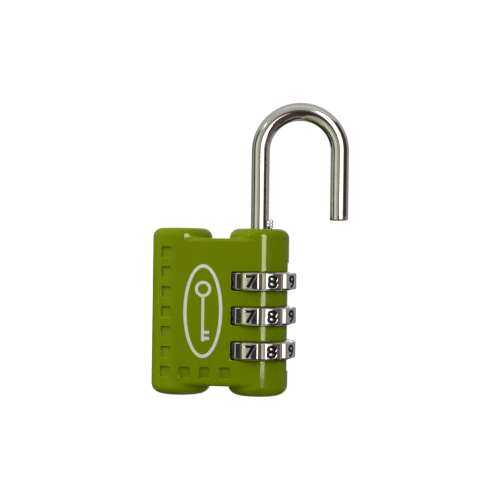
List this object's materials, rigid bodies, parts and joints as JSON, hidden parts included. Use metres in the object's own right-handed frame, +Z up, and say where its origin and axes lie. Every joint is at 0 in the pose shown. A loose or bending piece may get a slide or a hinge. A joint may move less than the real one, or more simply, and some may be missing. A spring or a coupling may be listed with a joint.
{
  "type": "luggage combination padlock",
  "caption": "Combination padlock for luggage: flat housing with turning number dials and a round shackle that lifts, swivels and locks.",
  "frame": {"origin": "on the axis of the dial cylinder, at the flat lower end that the lock stands on", "axes": "+X from the housing towards the dials' outer side, -Y is the front with the printed ring, +Z up along the shackle's legs"},
  "size_m": [0.0426, 0.0164, 0.0636],
  "materials": {
    "green_paint": "gloss",
    "shackle_chrome": "polished",
    "dial_chrome": "polished",
    "sleeve_brass": "turned brass",
    "spring_steel": "satin",
    "plain_zinc": "satin"
  },
  "bodies": {
    "housing": {"housing": "green_paint", "bottom_plug": "green_paint", "clutch_washer": "plain_zinc", "clutch_spring": "spring_steel", "shackle_spring": "spring_steel", "detent_ball_bottom": "spring_steel", "detent_spring_bottom": "spring_steel", "detent_ball_middle": "spring_steel", "detent_spring_middle": "spring_steel", "detent_ball_top": "spring_steel", "detent_spring_top": "spring_steel"},
    "spring_cap": {"spring_cap": "plain_zinc"},
    "shackle": {"shackle": "shackle_chrome", "retaining_clip": "spring_steel"},
    "dial_bottom": {"dial_bottom": "dial_chrome", "clutch_sleeve_bottom": "sleeve_brass"},
    "dial_middle": {"dial_middle": "dial_chrome", "clutch_sleeve_middle": "sleeve_brass"},
    "dial_top": {"dial_top": "dial_chrome", "clutch_sleeve_top": "sleeve_brass"}
  },
  "joints": [
    {"name": "shackle_lift", "type": "slide", "parent": "housing", "child": "spring_cap", "axis": [0, 0, 1], "range_m": [-0.005, 0], "stiffness_N_per_m": 300, "springref_m": 0.006, "deforming": ["shackle_spring"]},
    {"name": "shackle_swivel", "type": "hinge", "parent": "spring_cap", "child": "shackle", "pos_m": [0, 0, 0.036], "axis": [0, 0, 1], "range_deg": [-180, 180]},
    {"name": "dial_bottom_turn", "type": "hinge", "parent": "housing", "child": "dial_bottom", "pos_m": [0, 0, 0.0099], "axis": [0, 0, 1], "continuous": true},
    {"name": "dial_middle_turn", "type": "hinge", "parent": "housing", "child": "dial_middle", "pos_m": [0, 0, 0.0173], "axis": [0, 0, 1], "continuous": true},
    {"name": "dial_top_turn", "type": "hinge", "parent": "housing", "child": "dial_top", "pos_m": [0, 0, 0.0247], "axis": [0, 0, 1], "continuous": true}
  ]
}
